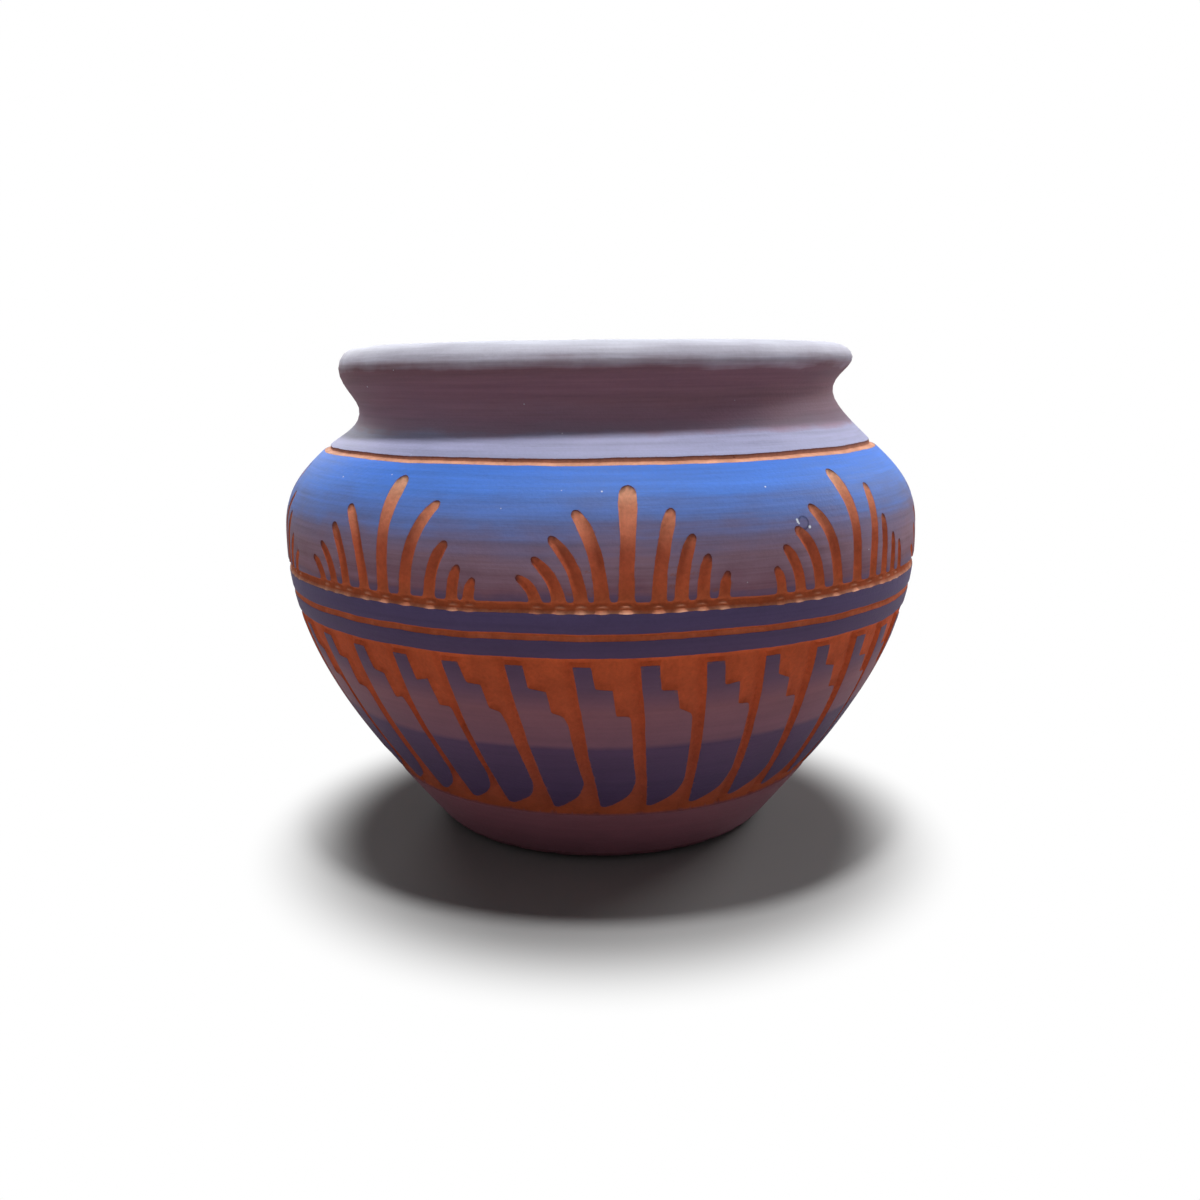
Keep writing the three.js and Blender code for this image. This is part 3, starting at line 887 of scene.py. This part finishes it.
# slip coats: colour by height in mm, broken up by the strokes of the brush
slips = {
    # rim: the darker, warmer mauve from 48.75 to 54.6 mm is painted shade along the lip's shadow on the neck; the
    # pale top of the lip is partly lighter paint, partly a painted highlight
    "rim_slip": [(45.5, (171, 174, 209)), (48.2, (172, 172, 207)), (48.75, (163, 139, 163)),
                 (49.8, (156, 122, 143)), (51.7, (140, 102, 115)), (54.6, (132, 93, 103)),
                 (55.0, (155, 130, 142)), (56.0, (193, 189, 205)), (57.5, (219, 221, 234))],
    "shoulder_slip": [(33.5, (119, 91, 122)), (34.6, (139, 97, 113)), (37.0, (153, 120, 138)),
                      (39.2, (126, 114, 147)), (41.0, (102, 122, 184)), (43.5, (85, 131, 219)),
                      (45.8, (73, 127, 224))],
    "stripe_slip": [(28.0, (87, 66, 100)), (32.4, (90, 75, 117))],
    "feather_slip": [(9.1, (71, 51, 83)), (12.0, (74, 55, 86)), (17.4, (88, 63, 93)), (18.0, (127, 85, 101)),
                     (22.0, (140, 91, 102)), (24.5, (110, 78, 102)), (27.1, (94, 69, 99))],
    "foot_slip": [(1.15, (130, 83, 96)), (7.8, (126, 77, 88))],
}
brush = {  # strokes run round the bowl: how close across, how close up, detail and roughness of each
    "strokes": {"streak": (26.0, 900.0, 4.0, 0.68), "fine": (57.2, 2300.0, 3.0, 0.6),
                "cloud": (150.0, 260.0, 3.0, 0.55), "grain": (2600.0, 2600.0, 3.0, 0.6)}, "grain": 0.16,
    "roughness": (0.5, 0.68), "shine": 0.2, "bump": 0.6, "bumpDistance": 0.00006,
    "speckScale": 520.0, "speckColour": (238, 240, 250), "wornColour": (150, 84, 62), "worn": 0.5,
    "fineShare": 0.85, "streakRelief": 0.8, "speckEdge": (0.025, 0.06), "wornAt": (0.42, 0.62),
}

# how strongly each slip was brushed: colour drift in mm, streaks, clouds and the share of dust specks
brushed = {
    "rim_slip": {"drift": 1.5, "streaks": 0.62, "clouds": 0.25, "specks": 0.16},
    "shoulder_slip": {"drift": 3.4, "streaks": 0.62, "clouds": 0.3, "specks": 0.22},
    "stripe_slip": {"drift": 0.5, "streaks": 0.3, "clouds": 0.2, "specks": 0.0},
    "feather_slip": {"drift": 0.5, "streaks": 0.26, "clouds": 0.24, "specks": 0.0},
    "foot_slip": {"drift": 0.8, "streaks": 0.3, "clouds": 0.24, "specks": 0.0},
}
chip = {  # a blister in the shoulder slip beside the right-hand fan; glints, which are painted highlights, as aside, up and size in mm
    "angle": 31.3, "height": 40.0, "radius": 0.85, "hollowColour": (50, 52, 92), "glintColour": (236, 242, 252),
    "glints": [(-0.72, 0.34, 0.17), (-0.66, 0.16, 0.17), (-0.55, 0.0, 0.12), (0.72, -0.42, 0.2)],
}


def slipMaterial(name):
    look = brushed[name]
    material, tree, here = newMaterial(name)
    strokes = {}
    for label, (across, up, detail, roughness) in brush["strokes"].items():
        where = addNode(tree, "ShaderNodeMapping", {0: here, 3: (across, across, up)})[0]
        strokes[label] = maths(tree, "SUBTRACT", noise(tree, where, 1.0, detail, roughness)[0], 0.5)
    drifts = [(look["drift"], strokes[label]) for label in ("streak", "cloud")]
    colour = heightColour(tree, here, slips[name], drifts, False)
    light = 1.0
    for label, amount in (("streak", look["streaks"]), ("fine", look["streaks"] * brush["fineShare"]),
                          ("cloud", look["clouds"]), ("grain", brush["grain"])):
        light = maths(tree, "MULTIPLY_ADD", strokes[label], amount, light)
    colour = vector(tree, "SCALE", colour, scale=light)
    if look["specks"]:
        cells = addNode(tree, "ShaderNodeTexVoronoi", {"Vector": here, "Scale": brush["speckScale"]})
        rare = maths(tree, "LESS_THAN", separated(tree, cells["Color"])[0], look["specks"])
        speck = maths(tree, "MULTIPLY", rare, mapped(tree, cells["Distance"], *brush["speckEdge"], 1.0, 0.0))
        colour = overlaid(tree, speck, colour, brush["speckColour"])
    if name == "shoulder_slip":
        colour = chipped(tree, here, colour)
    ragged = maths(tree, "MULTIPLY", attribute(tree, "edge"), maths(tree, "ADD", strokes["grain"], 0.5))
    worn = mapped(tree, ragged, *brush["wornAt"], 0.0, brush["worn"])
    colour = overlaid(tree, worn, colour, brush["wornColour"])
    relief = maths(tree, "MULTIPLY_ADD", strokes["streak"], brush["streakRelief"], strokes["grain"])
    rough = mapped(tree, relief, -0.4, 0.4, *brush["roughness"])
    finishMaterial(tree, colour, rough, relief, brush)
    return material


def chipped(tree, here, colour):  # a darker ring round a bead, broken up by noise, with painted highlights on both sides
    turn = math.radians(chip["angle"])

    def awayFrom(aside, up):
        height = chip["height"] + up
        spot = Matrix.Rotation(turn, 3, "Z") @ Vector((aside, -outerRadius(height), height)) * mm
        return vector(tree, "DISTANCE", here, spot)

    near = maths(tree, "MULTIPLY", awayFrom(0, 0), 1 / (chip["radius"] * mm))
    broken = mapped(tree, noise(tree, here, 900.0, 2.0)[0], 0.42, 0.52, 0.3, 1.0)
    hollow = ramp(tree, near, [(0.0, (0.1,) * 3), (0.5, (0.15,) * 3), (0.75, (0.8,) * 3), (0.92, (0,) * 3)])
    colour = overlaid(tree, maths(tree, "MULTIPLY", hollow, broken), colour, chip["hollowColour"])
    for aside, up, size in chip["glints"]:
        glint = mapped(tree, awayFrom(aside, up), size * 0.5 * mm, size * mm, 1.0, 0.0)
        colour = overlaid(tree, glint, colour, chip["glintColour"])
    return colour


# bare clay: colour by height, redder in the lower cuts, paler towards the neck; painted highlights on crests and
# ring edges, painted shade in creases, plume tips and deep cuts
clayLook = {
    "stops": [(0.0, (186, 105, 75)), (7.8, (154, 71, 40)), (12.0, (157, 73, 51)), (28.0, (203, 90, 51)),
              (33.0, (194, 98, 60)), (35.0, (205, 98, 62)), (38.0, (189, 93, 64)), (42.0, (220, 141, 110)),
              (44.5, (240, 182, 150)), (46.5, (200, 132, 106)), (57.5, (200, 120, 84))],
    # inside and wash are the clay's own colours; the pale one is a painted highlight, the dark one painted shade
    "inside": (188, 116, 84), "wash": (120, 76, 86), "paintedLight": (252, 196, 164), "paintedShade": (84, 46, 52),
    "shine": 0.15, "deep": 0.8, "grainScale": 2400.0, "lumpScale": 420.0, "highlightRoughness": 0.32,
    "roughness": (0.72, 0.9), "bump": 0.5, "bumpDistance": 0.00012,
}


def clayMaterial():
    material, tree, here = newMaterial("clay")
    colour = heightColour(tree, here, clayLook["stops"])
    for name in ("inside", "wash"):
        colour = overlaid(tree, attribute(tree, name), colour, clayLook[name])
    grain = noise(tree, here, clayLook["grainScale"], 5.0, 0.65)[0]
    lump = noise(tree, here, clayLook["lumpScale"], 3.0)[0]
    paintedLight = attribute(tree, "paintedLight")  # above nought a painted highlight, below nought painted shade
    broken = mapped(tree, lump, 0.35, 0.6, 0.45, 1.0)
    paintedHighlight = maths(tree, "MULTIPLY", paintedLight, broken, use_clamp=True)
    colour = overlaid(tree, paintedHighlight, colour, clayLook["paintedLight"])
    colour = overlaid(tree, maths(tree, "MULTIPLY", paintedLight, -1.0, use_clamp=True), colour, clayLook["paintedShade"])
    # painted shade: deeper cuts up to a tenth darker; grain and lumps then vary the clay's own tone
    cutShadeAndGrain = mapped(tree, attribute(tree, "cut"), 0.15, clayLook["deep"], 1.0, 0.9)
    for source in (grain, lump):
        cutShadeAndGrain = maths(tree, "MULTIPLY", cutShadeAndGrain, mapped(tree, source, 0.3, 0.7, 0.88, 1.12))
    colour = vector(tree, "SCALE", colour, scale=cutShadeAndGrain)
    rough = mapped(tree, grain, 0.0, 1.0, *clayLook["roughness"])
    rough = addNode(tree, "ShaderNodeMix", {0: paintedHighlight, 2: rough, 3: clayLook["highlightRoughness"]})[0]
    relief = maths(tree, "MULTIPLY_ADD", lump, 1.2, grain)
    finishMaterial(tree, colour, rough, relief, clayLook)
    return material


materials = {name: slipMaterial(name) for name in slips}
materials["clay"] = clayMaterial()
print("bowl: materials made")


def addPiece(name, flatMesh, node, slot, copies=1, turn=0.0):
    piece = wrapped(name, flatMesh, materials[slot], copies, turn)
    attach(piece, "root")
    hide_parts(node)
    return len(piece.data.polygons)


print("bowl: clay wall,", addPiece("clayWall", clayFlat(), "clay_body", "clay"), "faces")

tiles = [coatTile(i, plan["comb"], levelLine(fanTop, 0.4), 0.55, 0.4) for i, plan in enumerate(plans)]
count = addPiece("shoulderSlip", coatFlat(tiles), "shoulder_coat", "shoulder_slip")
print("bowl: shoulder slip,", count, "faces")

tiles = [coatTile(i, levelLine(upperLow, 0.35), plan["nicks"], 0.42, 0.4) for i, plan in enumerate(plans)]
addPiece("upperStripeSlip", coatFlat(tiles), "upper_stripe_coat", "stripe_slip")
for name, node, slot, low, high, step, edgeStep in (
        ("lowerStripeSlip", "lower_stripe_coat", "stripe_slip", lowerLow, lowerTop, 0.42, 0.35),
        ("footSlip", "foot_coat", "foot_slip", footLow, footTop, 0.75, 0.45),
        ("rimSlip", "rim_coat", "rim_slip", rimLow, throatEdge, 0.75, 0.4)):
    tile = coatTile(0, levelLine(low, edgeStep), levelLine(high, edgeStep), step, edgeStep)
    addPiece(name, coatFlat([tile]), node, slot, copies=fans["count"])
print("bowl: stripes, foot and rim placed")

for place in range(feather["count"]):
    addPiece(f"featherSlip{place + 1:02d}", featherFlat(place), f"feather_coat_{place + 1:02d}", "feather_slip",
             turn=featherAngle(place))
bpy.data.objects.remove(profileObject)
print("bowl: feathers placed")

# floor, light and camera; lengths in metres, power in watts
studio = {
    "overhead": {"place": (0.004, -0.075, 0.55), "size": 0.06, "power": 2.1},
    "side": {"place": (0.415, 0.193, 0.35), "size": 0.2, "power": 0.95},
    "back": {"place": (-0.25, 0.43, 0.26), "size": 0.2, "power": 0.6},
    "worldFill": 0.122, "floorBounce": 0.62, "floorTone": 0.34,
    "fadeMiddle": (0, -0.009, 0), "fadeFrom": 0.028, "fadeTo": 0.043,
    "cameraPlace": (-0.00017, -0.13716, 0.05438), "cameraPitch": 11.70, "cameraRoll": 0.543, "lens": 32.99,
}


def floorMaterial():  # grey where the shadow falls, and plain white from a little way off
    material, tree, here = newMaterial("paleFloor")
    seen = addNode(tree, "ShaderNodeLightPath")["Is Camera Ray"]
    away = vector(tree, "DISTANCE", here, studio["fadeMiddle"])
    far = mapped(tree, away, studio["fadeFrom"], studio["fadeTo"], interpolation_type="SMOOTHSTEP")
    tone = addNode(tree, "ShaderNodeMix", {0: seen, 2: studio["floorBounce"], 3: studio["floorTone"]})[0]
    matte = addNode(tree, "ShaderNodeBsdfDiffuse", {0: tone})
    white = addNode(tree, "ShaderNodeEmission", {0: (1, 1, 1, 1), 1: 1.0})
    mix = addNode(tree, "ShaderNodeMixShader", {0: maths(tree, "MULTIPLY", far, seen), 1: matte[0],
                                                2: white[0]})
    addNode(tree, "ShaderNodeOutputMaterial", {0: mix[0]})
    return material


floorMesh = bpy.data.meshes.new("floor")
floorMesh.from_pydata([(-3, -3, 0), (3, -3, 0), (3, 3, 0), (-3, 3, 0)], [], [(0, 1, 2, 3)])
floorMesh.materials.append(floorMaterial())
addObject("floor", floorMesh)

for name in ("overhead", "side", "back"):  # round soft lamps that look at the middle of the bowl
    lamp = bpy.data.lights.new(name + "Lamp", "AREA")
    lamp.shape = "DISK"
    lamp.size = studio[name]["size"]
    lamp.energy = studio[name]["power"]
    made = addObject(name + "Lamp", lamp)
    made.location = studio[name]["place"]
    made.rotation_euler = (Vector((0, 0, 0.03)) - made.location).to_track_quat("-Z", "Y").to_euler()

scene.world = bpy.data.worlds.new("studioWorld")  # white where it is seen, dim as a light
scene.world.use_nodes = True
sky = scene.world.node_tree
sky.nodes.clear()
rays = addNode(sky, "ShaderNodeLightPath")
direct = maths(sky, "MAXIMUM", rays["Is Camera Ray"], rays["Is Glossy Ray"])
direct = maths(sky, "MAXIMUM", direct, rays["Is Transmission Ray"])
strength = mapped(sky, direct, 0.0, 1.0, studio["worldFill"], 1.0)
background = addNode(sky, "ShaderNodeBackground", {0: (1, 1, 1, 1), 1: strength})
addNode(sky, "ShaderNodeOutputWorld", {0: background[0]})

cameraData = bpy.data.cameras.new("camera")
cameraData.lens = studio["lens"]
cameraData.sensor_width = 36
cameraData.clip_start = 0.005
camera = addObject("camera", cameraData)
camera.matrix_world = (Matrix.Translation(studio["cameraPlace"])
                       @ Matrix.Rotation(math.radians(90 - studio["cameraPitch"]), 4, "X")
                       @ Matrix.Rotation(math.radians(-studio["cameraRoll"]), 4, "Z"))
scene.camera = camera
scene.view_settings.view_transform = "Standard"
print("bowl: studio set")
